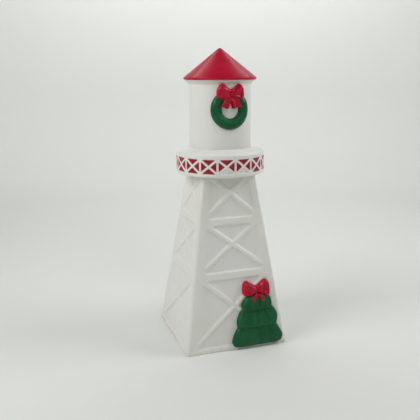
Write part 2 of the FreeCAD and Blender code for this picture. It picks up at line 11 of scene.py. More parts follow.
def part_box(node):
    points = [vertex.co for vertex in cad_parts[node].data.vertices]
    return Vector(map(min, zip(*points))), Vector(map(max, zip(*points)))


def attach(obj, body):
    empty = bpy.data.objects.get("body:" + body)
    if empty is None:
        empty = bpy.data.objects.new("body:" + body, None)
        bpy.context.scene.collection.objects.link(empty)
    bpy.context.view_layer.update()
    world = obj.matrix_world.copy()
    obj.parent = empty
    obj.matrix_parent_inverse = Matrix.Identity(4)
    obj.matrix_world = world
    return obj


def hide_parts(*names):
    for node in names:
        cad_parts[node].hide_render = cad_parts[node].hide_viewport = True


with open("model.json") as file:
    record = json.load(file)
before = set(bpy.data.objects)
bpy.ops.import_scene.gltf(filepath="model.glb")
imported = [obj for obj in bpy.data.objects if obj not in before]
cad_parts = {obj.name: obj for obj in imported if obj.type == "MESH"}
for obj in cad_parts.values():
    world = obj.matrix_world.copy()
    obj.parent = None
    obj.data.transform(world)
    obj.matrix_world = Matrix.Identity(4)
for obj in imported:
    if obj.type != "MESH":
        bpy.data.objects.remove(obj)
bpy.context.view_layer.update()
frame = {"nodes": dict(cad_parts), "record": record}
mm = 0.001                  # outlines are written in millimetres, everything else in metres
weldDistance = 0.00001      # points nearer to each other than this are one
leastReach = 0.02           # dents are worked out as if no point were nearer to the axis
bodyOf = {node: body for body, nodes in frame["record"]["behaviour"]["bodies"].items() for node in nodes}
print("frame loaded:", len(frame["nodes"]), "nodes")


# camera and studio

cameraForm = dict(place=(-0.4071, -1.1495, 0.5686), yaw=18.48, pitch=-13.59, roll=-0.34, lens=49.93)

studioForm = dict(
    wall=2.0,               # radius of the round wall that the paper bends up to
    bend=0.45,
    height=1.5,
    paper=(0.80, 0.81, 0.79),
    shadedPaper=0.985,      # how bright its darker patches are
    roughness=0.75,
    world=(1.0, 1.0, 1.0),
    worldStrength=0.02,
)

plainWhite = (1.0, 1.0, 1.0)
warmWhite = (1.0, 1.0, 0.985)

lampForms = (
    dict(name="leftLight", place=(-1.15, -0.25, 1.25), aim=(0, 0, 0.3), size=(0.8, 0.8), power=11.7,
         colour=warmWhite),
    dict(name="rightLight", place=(1.15, -0.35, 1.25), aim=(0, 0, 0.3), size=(0.8, 0.8), power=9.3,
         colour=warmWhite),
    dict(name="backLight", place=(0.15, 0.55, 1.25), aim=(0.1, 0.3, 0.0), size=(1.5, 0.2), power=3.9,
         colour=plainWhite),
    dict(name="frontLight", place=(0.175, -1.25, 1.385), aim=(0, 0, 0.3), size=(0.3, 0.3), power=2.4,
         colour=warmWhite),
    dict(name="wallLight", place=(0.4, 1.1, 1.6), aim=(0.62, 1.9, 1.0), size=(1.6, 0.3), power=11.4,
         colour=plainWhite),
)


def makeCamera(form):
    yaw, pitch, roll = (math.radians(form[turn]) for turn in ("yaw", "pitch", "roll"))
    ahead = Vector((math.sin(yaw) * math.cos(pitch), math.cos(yaw) * math.cos(pitch), math.sin(pitch)))
    right = Vector((math.cos(yaw), -math.sin(yaw), 0))
    above = right.cross(ahead)
    sideways = right * math.cos(roll) + above * math.sin(roll)
    upward = above * math.cos(roll) - right * math.sin(roll)
    camera = bpy.data.objects.new("camera", bpy.data.cameras.new("camera"))
    camera.data.lens = form["lens"]
    camera.data.clip_start = 0.05
    facing = Matrix((sideways, upward, -ahead)).transposed().to_4x4()
    camera.matrix_world = Matrix.Translation(form["place"]) @ facing
    bpy.context.scene.collection.objects.link(camera)
    bpy.context.scene.camera = camera


def makeLamp(form):
    lamp = bpy.data.lights.new(form["name"], "AREA")
    lamp.shape = "RECTANGLE"
    lamp.size, lamp.size_y = form["size"]
    lamp.energy = form["power"]
    lamp.color = form["colour"]
    holder = bpy.data.objects.new(form["name"], lamp)
    holder.location = form["place"]
    aim = Vector(form["aim"]) - holder.location
    holder.rotation_euler = aim.to_track_quat("-Z", "Y").to_euler()
    bpy.context.scene.collection.objects.link(holder)


# shader writing

class Wire:                 # a socket that can stand in a sum
    def __init__(self, shade, socket):
        self.shade = shade
        self.socket = socket

    def maths(self, operation, first, second):
        return self.shade.add("ShaderNodeMath", dict(operation=operation), {0: first, 1: second})

    def __add__(self, other):
        return self.maths("ADD", self, other)

    def __sub__(self, other):
        return self.maths("SUBTRACT", self, other)

    def __rsub__(self, other):
        return self.maths("SUBTRACT", other, self)

    def __mul__(self, other):
        return self.maths("MULTIPLY", self, other)

    __radd__ = __add__
    __rmul__ = __mul__

    def between(self, low, high):       # 0 below low, 1 above high, smooth in between
        return self.shade.add("ShaderNodeMapRange", dict(interpolation_type="SMOOTHSTEP"),
                              {"Value": self, "From Min": low, "From Max": high})


class Shade:                # the nodes of one material
    def __init__(self, name):
        self.material = bpy.data.materials.new(name)
        self.material.use_nodes = True
        self.tree = self.material.node_tree
        self.surface = self.tree.nodes["Principled BSDF"]
        self.where = self.add("ShaderNodeTexCoord", out="Object")

    def feed(self, socket, value):
        if isinstance(value, Wire):
            self.tree.links.new(value.socket, socket)
        else:
            socket.default_value = value

    def add(self, kind, settings=None, sockets=None, out=0):
        node = self.tree.nodes.new(kind)
        for name, value in (settings or {}).items():
            setattr(node, name, value)
        for name, value in (sockets or {}).items():
            self.feed(node.inputs[name], value)
        return Wire(self, node.outputs[out])

    def noise(self, size, detail=2.0, roughness=0.5):
        sockets = {"Vector": self.where, "Scale": 1 / size, "Detail": detail, "Roughness": roughness}
        return self.add("ShaderNodeTexNoise", None, sockets)

    def field(self, name):              # a number kept on the mesh's points
        return self.add("ShaderNodeAttribute", dict(attribute_name=name), None, "Fac")

    def mixed(self, share, first, second):
        return self.add("ShaderNodeMix", dict(data_type="RGBA"), {0: share, 6: first, 7: second}, 2)

    def bump(self, height, distance):
        return self.add("ShaderNodeBump", None, {"Height": height, "Distance": distance})

    def finish(self, **sockets):
        for name, value in sockets.items():
            self.feed(self.surface.inputs[name.replace("_", " ")], value)
        return self.material


def colour(red, green, blue):
    return (red, green, blue, 1.0)


# finishes

plasticForm = dict(
    fresh=colour(0.80, 0.80, 0.775),
    aged=colour(0.77, 0.765, 0.71),
    grime=colour(0.42, 0.40, 0.36),
    roughness=0.36,
    glow=0.12,              # how much light goes through the plastic
    glowDepth=0.004,
    glowColour=(1.0, 0.9, 0.75),
    grain=0.00035,
    grainDepth=0.00006,
)

redForm = dict(
    deep=colour(0.42, 0.0, 0.022),
    light=colour(0.50, 0.002, 0.034),
    worn=colour(0.60, 0.10, 0.15),
    roughness=0.34,
    shine=0.30,
    peelDepth=0.00010,      # height of the paint's uneven skin
)
latticeForm = dict(
    deep=colour(0.27, 0.0, 0.020),
    light=colour(0.34, 0.002, 0.028),
    worn=colour(0.55, 0.12, 0.16),
    roughness=0.36,
)
greenForm = dict(
    deep=colour(0.002, 0.082, 0.026),
    light=colour(0.006, 0.108, 0.036),
    worn=colour(0.03, 0.17, 0.075),
    roughness=0.36,
    shine=0.28,
    peelDepth=0.00010,
)


def plasticColour(shade, form):
    cloud = shade.noise(0.16, 3.0).between(0.3, 0.75)
    tone = shade.mixed(cloud, form["fresh"], form["aged"])
    height = shade.add("ShaderNodeSeparateXYZ", None, {0: shade.where}, "Z")
    foot = (1 - height.between(0.0, 0.03)) * shade.noise(0.012, 5.0, 0.65).between(0.42, 0.75) * 0.35
    speck = shade.noise(0.0035, 2.0).between(0.74, 0.82) * shade.noise(0.05).between(0.45, 0.7) * 0.3
    return shade.mixed(foot + speck, tone, form["grime"])


def plasticSurface(shade, form, tone, roughness):
    grain = shade.noise(form["grain"] * 6, 4.0, 0.6) * 0.5 + shade.noise(form["grain"] * 60, 2.0)
    return shade.finish(
        Base_Color=tone,
        Roughness=roughness,
        Normal=shade.bump(grain, form["grainDepth"]),
        Subsurface_Weight=form["glow"],
        Subsurface_Scale=form["glowDepth"],
        Subsurface_Radius=form["glowColour"],
        IOR=1.5,
    )


def whitePlastic(form):
    shade = Shade("whitePlastic")
    roughness = form["roughness"] + (shade.noise(0.03, 3.0) - 0.5) * 0.12
    return plasticSurface(shade, form, plasticColour(shade, form), roughness)


def latticePlastic(form, red):
    shade = Shade("latticePlastic")
    ragged = (shade.noise(0.0016, 3.0, 0.6) - 0.5) * 0.55
    inset = shade.field("paint") + ragged
    coat = inset.between(0.05, 0.4)
    thin = inset.between(0.3, 1.1)
    cloud = shade.noise(0.009, 3.0).between(0.35, 0.7)
    paint = shade.mixed(cloud, red["deep"], red["light"])
    paint = shade.mixed(1 - thin, paint, red["worn"])
    mist = shade.field("paint").between(-1.3, 0.3) * shade.noise(0.0012, 2.0).between(0.55, 0.75) * 0.25
    tone = shade.mixed(mist, plasticColour(shade, form), red["worn"])
    tone = shade.mixed(coat, tone, paint)
    roughness = form["roughness"] - coat * (form["roughness"] - red["roughness"])
    return plasticSurface(shade, form, tone, roughness)


def paintedPlastic(name, form, roughness=None):
    shade = Shade(name)
    cloud = shade.noise(0.02, 3.0, 0.55).between(0.3, 0.72)
    tone = shade.mixed(cloud, form["deep"], form["light"])
    worn = shade.noise(0.006, 4.0, 0.65).between(0.66, 0.80) * 0.22
    tone = shade.mixed(worn, tone, form["worn"])
    roughness = (roughness or form["roughness"]) + (shade.noise(0.012, 3.0) - 0.5) * 0.12
    peel = shade.noise(0.0022, 2.0) * 0.7 + shade.noise(0.018, 2.0) * 1.6
    return shade.finish(
        Base_Color=tone,
        Roughness=roughness,
        Normal=shade.bump(peel, form["peelDepth"]),
        Specular_IOR_Level=form["shine"],
        IOR=1.5,
    )


def plainFinish(name, base, roughness, metallic=0.0, patch=0.01, change=0.12, distance=0.00003, **sockets):
    shade = Shade(name)
    cloud = shade.noise(patch, 4.0, 0.6)
    darker = tuple(part * 0.72 for part in base)
    tone = shade.mixed(cloud.between(0.35, 0.7), colour(*base), colour(*darker))
    return shade.finish(
        Base_Color=tone,
        Roughness=roughness + (cloud - 0.5) * change,
        Metallic=metallic,
        Normal=shade.bump(shade.noise(patch / 8, 3.0), distance),
        **sockets,
    )


finishes = dict(
    white=whitePlastic(plasticForm),
    lattice=latticePlastic(plasticForm, latticeForm),
    red=paintedPlastic("redPaint", redForm),
    bow=paintedPlastic("bowPaint", redForm, 0.2),
    green=paintedPlastic("greenPaint", greenForm),
    phenolic=plainFinish("blackPhenolic", (0.015, 0.014, 0.013), 0.3, 0.0, 0.006),
    rubber=plainFinish("blackRubber", (0.025, 0.025, 0.026), 0.62, 0.0, 0.004, 0.2, 0.00006),
    brass=plainFinish("stampedBrass", (0.80, 0.60, 0.28), 0.30, 1.0, 0.004, 0.25),
    steel=plainFinish("zincSteel", (0.62, 0.63, 0.64), 0.34, 1.0, 0.003, 0.25),
    solder=plainFinish("dullSolder", (0.60, 0.60, 0.59), 0.45, 1.0, 0.001, 0.3),
    glass=plainFinish("clearGlass", (0.97, 0.98, 0.97), 0.05, 0.0, 0.02, 0.04, 0.00001,
                      Transmission_Weight=1.0, IOR=1.5),
)
print("finishes made:", len(finishes))


# mesh making

def eased(value, low, high):
    share = np.clip((value - low) / (high - low), 0.0, 1.0)
    return share * share * (3.0 - 2.0 * share)


def ripple(points, length, seed):       # soft uneven waves between 0 and 1, about length from crest to crest
    random = np.random.RandomState(seed)
    total = np.zeros(len(points))
    for _ in range(5):
        way = random.normal(size=3)
        way *= 2 * math.pi / (length * random.uniform(0.7, 1.6) * np.linalg.norm(way))
        total += np.sin(points @ way + random.uniform(0, 2 * math.pi))
    return np.clip(0.5 + total / 7.0, 0.0, 1.0)


def gridFaces(rows, columns, rowsClosed=True, columnsClosed=True):
    faces = []
    for i in range(rows if rowsClosed else rows - 1):
        for j in range(columns if columnsClosed else columns - 1):
            k = (i + 1) % rows
            m = (j + 1) % columns
            faces.append([i * columns + j, k * columns + j, k * columns + m, i * columns + m])
    return faces


def joined(parts):
    faces = []
    start = 0
    for points, partFaces in parts:
        faces += [[corner + start for corner in face] for face in partFaces]
        start += len(points)
    return np.vstack([points for points, _ in parts]), faces


def turnedSection(section, steps=192, closed=True):     # (radius, z) points turned about the upright axis
    section = np.asarray(section)
    angles = 2 * math.pi * np.arange(steps) / steps
    points = np.empty((steps, len(section), 3))
    points[..., 0] = np.outer(np.sin(angles), section[:, 0])
    points[..., 1] = -np.outer(np.cos(angles), section[:, 0])
    points[..., 2] = section[:, 1]
    return points.reshape(-1, 3), gridFaces(steps, len(section), True, closed)


def rounded(corners, closed=True, arcSteps=6, longest=0.012):
    # an outline of (x, z, radius) corners, each rounded, with its long sides divided
    spots = [np.array(corner[:2], float) for corner in corners]
    points = []
    count = len(spots)
    for i, here in enumerate(spots):
        radius = corners[i][2]
        if radius == 0 or (not closed and i in (0, count - 1)):
            points.append(here)
            continue
        back = spots[i - 1] - here
        ahead = spots[(i + 1) % count] - here
        shorter = min(np.linalg.norm(back), np.linalg.norm(ahead))
        back /= np.linalg.norm(back)
        ahead /= np.linalg.norm(ahead)
        angle = math.acos(np.clip(back @ ahead, -1, 1))
        reach = min(radius / math.tan(angle / 2), 0.49 * shorter)
        middle = (back + ahead) / np.linalg.norm(back + ahead)
        centre = here + middle * reach / math.cos(angle / 2)
        start, end = here + back * reach, here + ahead * reach
        turn = math.pi - angle
        for k in range(arcSteps + 1):
            first = math.sin((1 - k / arcSteps) * turn) / math.sin(turn)
            second = math.sin(k / arcSteps * turn) / math.sin(turn)
            points.append(centre + first * (start - centre) + second * (end - centre))
    divided = []
    for i in range(len(points) if closed else len(points) - 1):
        here, after = points[i], points[(i + 1) % len(points)]
        pieces = max(1, math.ceil(np.linalg.norm(after - here) / longest))
        divided += [here + (after - here) * k / pieces for k in range(pieces)]
    return np.array(divided if closed else divided + [points[-1]])


def evenLoop(points, count):
    ring = np.vstack([points, points[:1]])
    run = np.concatenate([[0], np.cumsum(np.linalg.norm(np.diff(ring, axis=0), axis=1))])
    marks = np.linspace(0, run[-1], count, endpoint=False)
    return np.column_stack([np.interp(marks, run, ring[:, k]) for k in (0, 1)])


def smoothLoop(corners, count):         # a closed curve through its corners, in even steps
    corners = np.asarray(corners, float) * mm
    total = len(corners)
    dense = []
    for i in range(total):
        a, b, c, d = (corners[(i + k) % total] for k in (-1, 0, 1, 2))
        for t in np.linspace(0, 1, 12, endpoint=False):
            dense.append(0.5 * (2 * b + (c - a) * t + (2 * a - 5 * b + 4 * c - d) * t ** 2
                                + (3 * b - a - 3 * c + d) * t ** 3))
    return evenLoop(np.array(dense), count)


def weldedObject(name, points, faces, fields=None):
    mesh = bpy.data.meshes.new(name)
    mesh.from_pydata(points.tolist(), [], faces)
    for field, values in (fields or {}).items():
        mesh.attributes.new(field, "FLOAT", "POINT").data.foreach_set("value", values)
    shell = bmesh.new()
    shell.from_mesh(mesh)
    bmesh.ops.remove_doubles(shell, verts=shell.verts, dist=weldDistance)
    bmesh.ops.recalc_face_normals(shell, faces=shell.faces)
    openEdges = sum(not edge.is_manifold for edge in shell.edges)
    shell.to_mesh(mesh)
    shell.free()
    mesh.polygons.foreach_set("use_smooth", [True] * len(mesh.polygons))
    thing = bpy.data.objects.new(name, mesh)
    bpy.context.scene.collection.objects.link(thing)
    return thing, openEdges


def makePiece(name, shape, nodes, finish, sharp=50, fields=None):
    piece, openEdges = weldedObject(name, *shape, fields)
    piece.data.set_sharp_from_angle(angle=math.radians(sharp))
    piece.data.materials.append(finishes[finish])
    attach(piece, bodyOf[nodes[0]])
    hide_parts(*nodes)
    print("made", name, len(piece.data.vertices), "points,", openEdges, "open edges")


# triangles between crossed braces, in the plane of a face

def sideOf(start, end, shift=0.0):      # the line through two points, moved to its left: a x + b z = c
    across = np.array([start[1] - end[1], end[0] - start[0]], float)
    across /= np.linalg.norm(across)
    return np.append(across, across @ np.asarray(start) + shift)


def meet(one, two):
    return np.linalg.solve([one[:2], two[:2]], [one[2], two[2]])


def grown(corners, distance):
    sides = [sideOf(corners[i], corners[(i + 1) % 3], -distance) for i in range(3)]
    return np.array([meet(sides[i - 1], sides[i]) for i in range(3)])


def crossedBay(low, high, innerLow, innerHigh, foot, head, width):
    rising = [sideOf(foot, head, shift) for shift in (width / 2, -width / 2)]
    falling = [sideOf((-foot[0], foot[1]), (-head[0], head[1]), shift) for shift in (width / 2, -width / 2)]
    beamLow = sideOf((-1, low), (1, low))
    beamHigh = sideOf((-1, high), (1, high))
    post = sideOf((-innerLow, low), (-innerHigh, high))
    left = [meet(post, rising[0]), meet(rising[0], falling[0]), meet(falling[0], post)]
    right = [np.array([-x, z]) for x, z in reversed(left)]
    top = [meet(rising[0], falling[1]), meet(rising[0], beamHigh), meet(falling[1], beamHigh)]
    bottom = [meet(rising[1], beamLow), meet(falling[0], beamLow), meet(rising[1], falling[0])]
    return [np.array(corners) for corners in (left, right, top, bottom)]


def levelLine(corners, inset, rounding, gap):
    # the closed line at one distance inside the triangle whose corners are rounded
    core = grown(corners, -max(rounding, inset))
    radius = max(rounding - inset, 0.0)
    points = []
    for i in range(3):
        here, after = core[i], core[(i + 1) % 3]
        run = after - here
        start = math.atan2(*(here - core[i - 1])[::-1]) - math.pi / 2
        turn = (math.atan2(*run[::-1]) - math.pi / 2 - start) % (2 * math.pi)
        steps = 6 if radius > 0 else 0
        for k in range(steps + 1):
            angle = start + turn * k / max(steps, 1)
            points.append(here + radius * np.array([math.cos(angle), math.sin(angle)]))
        pieces = max(1, round(np.linalg.norm(run) / gap))
        last = here + radius * np.array([run[1], -run[0]]) / np.linalg.norm(run)
        points += [last + run * k / pieces for k in range(1, pieces)]
    return np.array(points)


def insetOf(points, corners, rounding):      # distance inside that triangle, negative outside
    core = grown(corners, -rounding)
    inner = np.full(len(points), 1e9)
    outer = np.full(len(points), 1e9)
    for i in range(3):
        start, end = core[i], core[(i + 1) % 3]
        side = sideOf(start, end)
        inner = np.minimum(inner, points @ side[:2] - side[2])
        run = end - start
        share = np.clip((points - start) @ run / (run @ run), 0, 1)
        outer = np.minimum(outer, np.linalg.norm(points - start - share[:, None] * run, axis=1))
    return np.where(inner > 0, rounding + inner, rounding - outer)


def filledPatch(outline, loops, loose):
    # triangles over an outline, following closed loops and loose points
    points = [tuple(point) for point in outline]
    count = len(points)
    edges = [(i, (i + 1) % count) for i in range(count)]
    for loop in loops:
        start = len(points)
        points += [tuple(point) for point in loop]
        edges += [(start + i, start + (i + 1) % len(loop)) for i in range(len(loop))]
    points += [tuple(point) for point in loose]
    scaled = [Vector(point) / mm for point in points]
    spots, _, faces = delaunay_2d_cdt(scaled, edges, [], 1, 0.0001)[:3]
    return np.array([spot[:] for spot in spots]) * mm, [list(face) for face in faces]


def loosePoints(low, high, gap, seed):       # an uneven net of points over a rectangle
    random = np.random.RandomState(seed)
    rows = np.arange(low[1] + gap / 2, high[1], gap * 0.87)
    columns = np.arange(low[0] + gap / 2, high[0], gap)
    net = np.array([(x + (i % 2) * gap / 2, z) for i, z in enumerate(rows) for x in columns])
    return net + random.uniform(-0.2, 0.2, net.shape) * gap


# tower

towerForm = dict(
    cornerRadius=0.006,
    cornerSteps=6,
    footRadius=0.0015,
    relief=0.003,           # depth of the recesses
    edgeReach=0.0016,       # how far the softening of a recess reaches out of its outline
    slopeReach=0.0038,      # and into it
    postReach=0.018,        # the recess is shallow beside a post and full this far from it
    postShare=0.42,         # of its depth beside the post
    pocketRounding=0.0035,
    postWidth=0.017,
    bays=((0.010, 0.1485), (0.163, 0.259), (0.273, 0.3565)),
    braceWidth=0.0065,
    braceRise=0.005,
    braceInset=0.003,
    skin=0.0052,            # outside of the beams to the inside of the wall
    floorThickness=0.003,
    innerRadius=0.003,
    wave=0.00028,           # how uneven the moulded faces are
    seamInset=0.0085,       # the mould's parting line, in from the rear corner
    seamHeight=0.00028,
    seamWidth=0.0004,
    seamFade=0.006,
    padRadius=0.028,
    padSoft=0.0016,
    holeRadius=0.020,
    holeEdge=0.0006,
    landRadius=0.0235,      # a ring of points on the pad, between the hole and the pad's edge
    rows=46,
    along=26,
    footSteps=6,
    holeSteps=96,
    levels=9,               # level lines on each recess's slope
    levelGap=0.005,
    looseGap=0.008,
)

looseClear = dict(          # how far a tower face's loose points stay from what else is on it
    outOfRecess=0.0025,
    inRecess=0.001,
    edge=0.003,
    top=0.0015,
    seam=0.002,
    pad=0.002,
    padLine=0.0008,
)

galleryLow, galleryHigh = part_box("gallery")
towerHeight = galleryLow.z
lampZ = (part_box("lamp_plate")[0].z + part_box("lamp_plate")[1].z) / 2
lampHub = np.array([0, lampZ])
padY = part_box("lampholder_body")[1].y      # the pad on the back wall, where the lamp kit seats


def towerSides():
    # half the width at the ground, and how much of it is lost per metre of height, from the frame's tower
    mesh = frame["nodes"]["tower"].data
    points = np.array([vertex.co for vertex in mesh.vertices], float)
    widest = points[points[:, 0].argmax()]
    topHalf = points[abs(points[:, 2] - towerHeight) < weldDistance, 0].max()
    slope = (widest[0] - topHalf) / (towerHeight - widest[2])
    return widest[0] + slope * widest[2], slope


baseHalf, taper = towerSides()
lean = math.atan(taper)


def faceY(z):
    return baseHalf - taper * z


def towerTriangles(form):
    triangles = []
    for low, high in form["bays"]:
        innerLow, innerHigh = (faceY(z) - form["postWidth"] for z in (low, high))
        footZ = low + form["braceRise"]
        foot = (form["postWidth"] - faceY(footZ), footZ)
        head = (innerHigh - form["braceInset"], high)
        triangles += crossedBay(low, high, innerLow, innerHigh, foot, head, form["braceWidth"])
    return triangles


def squareRing(half, radius, z, along, around):
    # one level loop of the tower: the flats in steps, then the rounded corners
    points = []
    for side in range(4):
        flat = half - radius
        loop = [(flat * t, -half) for t in np.linspace(-1, 1, along + 1)]
        for k in range(1, around):
            angle = math.pi / 2 * k / around
            loop.append((flat + radius * math.sin(angle), -flat - radius * math.cos(angle)))
        turn = side * math.pi / 2
        points += [(x * math.cos(turn) - y * math.sin(turn), x * math.sin(turn) + y * math.cos(turn), z)
                   for x, y in loop]
    return np.array(points)


def quarterTurned(points, side):
    turn = side * math.pi / 2
    spin = np.array([[math.cos(turn), math.sin(turn), 0], [-math.sin(turn), math.cos(turn), 0], [0, 0, 1]])
    return points @ spin


def fromHub(points):        # distance from the lamp's axis, in the plane of the back face
    return np.linalg.norm(points - lampHub, axis=1)


def hubCircle(form, radius):
    steps = 2 * math.pi * np.arange(form["holeSteps"]) / form["holeSteps"]
    return np.column_stack([radius * np.sin(steps), lampZ + radius * np.cos(steps)])


def outsideHole(form, spots, faces):    # the faces that the lamp's hole leaves
    distances = fromHub(spots[np.array(faces)].mean(axis=1))
    return [face for face, distance in zip(faces, distances) if distance > form["holeRadius"] * 0.999]


def aroundPad(form, loops, loose, clear):
    # level lines that cross the pad give way to it, and rings stand round the hole and the pad's edge
    padReach = form["padRadius"] + form["padSoft"]
    clear &= fromHub(loose) > padReach + looseClear["pad"]
    kept = []
    for loop in loops:
        distance = fromHub(loop)
        if distance.min() > padReach + looseClear["padLine"]:
            kept.append(loop)
        else:
            loose = np.vstack([loose, loop])
            clear = np.append(clear, distance > padReach + looseClear["padLine"])
    radii = [form["holeRadius"] + form["holeEdge"] * k / 3 for k in range(4)] + [form["landRadius"]]
    radii += list(np.linspace(form["padRadius"] - form["padSoft"] - 0.0004, padReach + 0.0002, 11))
    return kept + [hubCircle(form, radius) for radius in radii], loose, clear


def pressPad(form, spots, points):      # the flat pad that the lamp's plate seats on
    distance = fromHub(spots)
    pad = 1 - eased(distance, form["padRadius"] - form["padSoft"], form["padRadius"] + form["padSoft"])
    edge = np.clip((form["holeRadius"] + form["holeEdge"] - distance) / form["holeEdge"], 0, 1)
    padPlane = padY - form["holeEdge"] * (1 - np.sqrt(1 - edge ** 2))
    points[:, 1] += pad * (-padPlane - points[:, 1])
    points[:, 2] += pad * (spots[:, 1] - points[:, 2])


def fromSeam(form, spots, seam):
    return seam * spots[:, 0] - faceY(spots[:, 1]) + form["seamInset"]


def nearestInset(form, points, triangles):
    return np.max([insetOf(points, corners, form["pocketRounding"]) for corners in triangles], axis=0)


def towerFace(form, triangles, rows, side):
    # one face of the tower, made as the front (-Y) and turned to its side
    radius = form["cornerRadius"]
    low, high = rows[0], rows[-1]
    right = [(faceY(z) - radius, z) for z in rows]
    bottom = [((faceY(low) - radius) * t, low) for t in np.linspace(-1, 1, form["along"] + 1)]
    top = [((faceY(high) - radius) * t, high) for t in np.linspace(1, -1, form["along"] + 1)]
    left = [(-x, z) for x, z in reversed(right)]
    outline = bottom[:-1] + right[:-1] + top[:-1] + left[:-1]
    insets = np.linspace(-form["edgeReach"], form["slopeReach"], form["levels"])
    loops = [levelLine(corners, inset, form["pocketRounding"], form["levelGap"])
             for corners in triangles for inset in insets]
    loose = loosePoints((-faceY(low), low), (faceY(low), high), form["looseGap"], side)
    deepest = nearestInset(form, loose, triangles)
    margin = faceY(loose[:, 1]) - radius - abs(loose[:, 0])
    clear = (deepest < -looseClear["outOfRecess"]) | (deepest > form["slopeReach"] + looseClear["inRecess"])
    clear &= (margin > looseClear["edge"]) & (loose[:, 1] > low + looseClear["edge"])
    clear &= loose[:, 1] < high - looseClear["top"]
    seam = {1: 1, 3: -1}.get(side, 0)
    isBack = side == 2
    if seam:
        clear &= abs(fromSeam(form, loose, seam)) > looseClear["seam"]
        lines = [[(seam * (faceY(z) - form["seamInset"] + shift), z) for z in rows[1:-1]]
                 for shift in (-0.0009, -0.0004, 0.0, 0.0004, 0.0009)]
        loose = np.vstack([loose[clear]] + lines)
        clear = np.ones(len(loose), bool)
    if isBack:
        loops, loose, clear = aroundPad(form, loops, loose, clear)
    spots, faces = filledPatch(outline, loops, loose[clear])
    inset = nearestInset(form, spots, triangles)
    depth = form["relief"] * eased(inset, -form["edgeReach"], form["slopeReach"])
    fromPost = faceY(spots[:, 1]) - form["postWidth"] - abs(spots[:, 0])
    depth *= form["postShare"] + (1 - form["postShare"]) * eased(fromPost, 0, form["postReach"])
    if seam:
        ridge = np.exp(-(fromSeam(form, spots, seam) / form["seamWidth"]) ** 2)
        depth -= form["seamHeight"] * ridge * eased(spots[:, 1], low, low + form["seamFade"])
    x, z = spots[:, 0], spots[:, 1]
    points = np.column_stack([x, depth * math.cos(lean) - faceY(z), z - depth * math.sin(lean)])
    if isBack:
        pressPad(form, spots, points)
        faces = outsideHole(form, spots, faces)
    return quarterTurned(points, side), faces


def makeTower(form):
    rows = np.linspace(form["footRadius"], towerHeight, form["rows"])
    along = form["along"]
    around = form["cornerSteps"]
    triangles = towerTriangles(form)
    parts = [towerFace(form, triangles, rows, side) for side in range(4)]
    perSide = along + around
    loops = np.array([squareRing(faceY(z), form["cornerRadius"], z, along, around) for z in rows])
    for side in range(4):               # the rounded upright corners
        picked = [(side * perSide + along + k) % (4 * perSide) for k in range(around + 1)]
        parts.append((loops[:, picked].reshape(-1, 3), gridFaces(len(rows), around + 1, False, False)))
    foot = []
    for angle in np.linspace(0, math.pi / 2, form["footSteps"]):
        inset = form["footRadius"] * (1 - math.cos(angle))
        z = form["footRadius"] * (1 - math.sin(angle))
        half = faceY(form["footRadius"]) - inset
        foot.append(squareRing(half, form["cornerRadius"] - inset, z, along, around))
    parts.append((np.vstack(foot), gridFaces(len(foot), 4 * perSide, False, True)))
    parts.append((foot[-1], [list(range(4 * perSide))]))
    parts.append((loops[-1], [list(range(4 * perSide))]))
    outside, outsideFaces = joined(parts)
    dent = form["wave"] * ripple(outside, 0.07, 11) * eased(outside[:, 2], 0.0, 0.01)
    reach = abs(outside[:, :2]).max(axis=1).clip(leastReach)
    outside[:, :2] *= (1 - dent / reach)[:, None]
    inside = towerInside(form)
    tube = holeTube(form, outside)
    shape = joined([(outside, outsideFaces), inside, tube])
    makePiece("towerSkin", shape, ["tower"], "white", 60)


def holeRing(form, y):
    flat = hubCircle(form, form["holeRadius"])
    return np.column_stack([-flat[:, 0], np.full(len(flat), y), flat[:, 1]])


def holeTube(form, outside):            # from the pad's hole to the inside of the back wall
    rim = holeRing(form, padY - form["holeEdge"])
    nearest = [np.linalg.norm(outside - point, axis=1).argmin() for point in rim]
    rim = outside[nearest]
    inner = holeRing(form, 0.0)
    inner[:, 1] = faceY(inner[:, 2]) - form["skin"] / math.cos(lean)
    return np.vstack([rim, inner]), gridFaces(2, form["holeSteps"], False, True)


def towerInside(form):
    skin = form["skin"] / math.cos(lean)
    low = form["floorThickness"]
    high = towerHeight - form["floorThickness"]
    around = 3
    rings = [squareRing(faceY(z) - skin, form["innerRadius"], z, 1, around) for z in (low, high)]
    count = len(rings[0])
    backStart = 2 * (1 + around)
    walls = [face for i, face in enumerate(gridFaces(2, count, False, True)) if i != backStart]
    ends = [list(range(count)), list(range(count, 2 * count))]
    corners = [rings[level][backStart + end] for level, end in ((0, 0), (0, 1), (1, 1), (1, 0))]
    outline = np.array([(-point[0], point[2]) for point in corners])
    spots, faces = filledPatch(outline, [hubCircle(form, form["holeRadius"])], [])
    back = np.column_stack([-spots[:, 0], faceY(spots[:, 1]) - skin, spots[:, 1]])
    return joined([(np.vstack(rings), walls + ends), (back, outsideHole(form, spots, faces))])


# gallery

